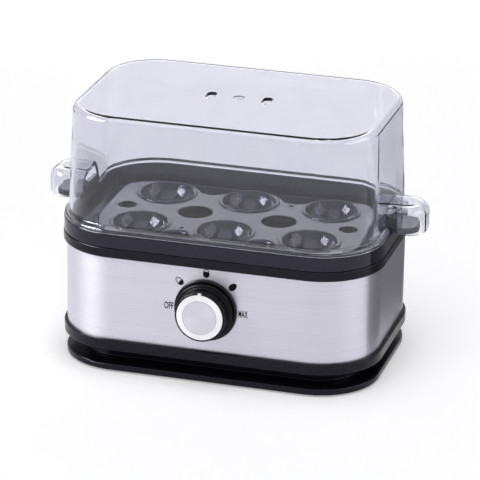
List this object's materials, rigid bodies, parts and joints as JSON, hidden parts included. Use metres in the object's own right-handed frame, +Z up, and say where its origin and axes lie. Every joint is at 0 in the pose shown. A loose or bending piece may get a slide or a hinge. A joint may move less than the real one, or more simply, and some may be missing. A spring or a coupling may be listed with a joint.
{
  "type": "electric egg cooker",
  "caption": "Oblong electric egg cooker with a brushed steel body, black egg tray with bowls, clear lift-off lid, turning knob and a cord-wrap groove in its base.",
  "frame": {"origin": "centre of the box round the whole cooker, on the table under its feet", "axes": "+X to the right seen from the knob side, +Y to the back, +Z up; the knob points to -Y"},
  "size_m": [0.23, 0.1424, 0.1555],
  "materials": {
    "steel_shell": "brushed along the length",
    "base_housing": "satin black",
    "bottom_cover": "satin black",
    "rubber_feet": "matt",
    "cover_screws": "zinc plated",
    "tie_screws": "zinc plated",
    "cord_gland": "matt",
    "top_rim": "satin black",
    "rim_gasket": "matt",
    "water_pan": "satin",
    "pan_studs": "zinc plated",
    "heating_element": "oxidised",
    "heat_spreader": "as cast",
    "element_terminals": "plain",
    "thermal_cutout": "matt",
    "cutout_screws": "zinc plated",
    "heat_shield": "mill finish",
    "earth_tab": "tinned",
    "terminal_block": "matt",
    "terminal_screws": "plain",
    "control_body": "matt",
    "control_bushing": "plain",
    "control_nut": "nickel plated",
    "knob_bezel": "semi-gloss black",
    "knob_body": "satin black",
    "knob_cap": "spun bright",
    "control_shaft": "plain",
    "knob_spring_clip": "spring steel",
    "egg_tray": "semi-gloss black",
    "tray_handles": "semi-gloss black",
    "lid": "clear"
  },
  "bodies": {
    "base": {"steel_shell": "steel_shell", "base_housing": "base_housing", "bottom_cover": "bottom_cover", "rubber_feet": "rubber_feet", "cover_screws": "cover_screws", "tie_screws": "tie_screws", "cord_gland": "cord_gland", "top_rim": "top_rim", "rim_gasket": "rim_gasket", "water_pan": "water_pan", "pan_studs": "pan_studs", "heating_element": "heating_element", "heat_spreader": "heat_spreader", "element_terminals": "element_terminals", "thermal_cutout": "thermal_cutout", "cutout_screws": "cutout_screws", "heat_shield": "heat_shield", "earth_tab": "earth_tab", "terminal_block": "terminal_block", "terminal_screws": "terminal_screws", "control_body": "control_body", "control_bushing": "control_bushing", "control_nut": "control_nut", "knob_bezel": "knob_bezel"},
    "tray": {"egg_tray": "egg_tray", "tray_handles": "tray_handles"},
    "lid": {"lid": "lid"},
    "knob": {"knob_body": "knob_body", "knob_cap": "knob_cap", "control_shaft": "control_shaft", "knob_spring_clip": "knob_spring_clip"}
  },
  "joints": [
    {"name": "tray_lift", "type": "slide", "parent": "base", "child": "tray", "axis": [0, 0, 1], "range_m": [0, 0.06]},
    {"name": "lid_lift", "type": "slide", "parent": "tray", "child": "lid", "axis": [0, 0, 1], "range_m": [0, 0.09]},
    {"name": "knob_turn", "type": "hinge", "parent": "base", "child": "knob", "pos_m": [0, -0.05775, 0.0466], "axis": [0, 1, 0], "range_deg": [-90, 90]}
  ]
}
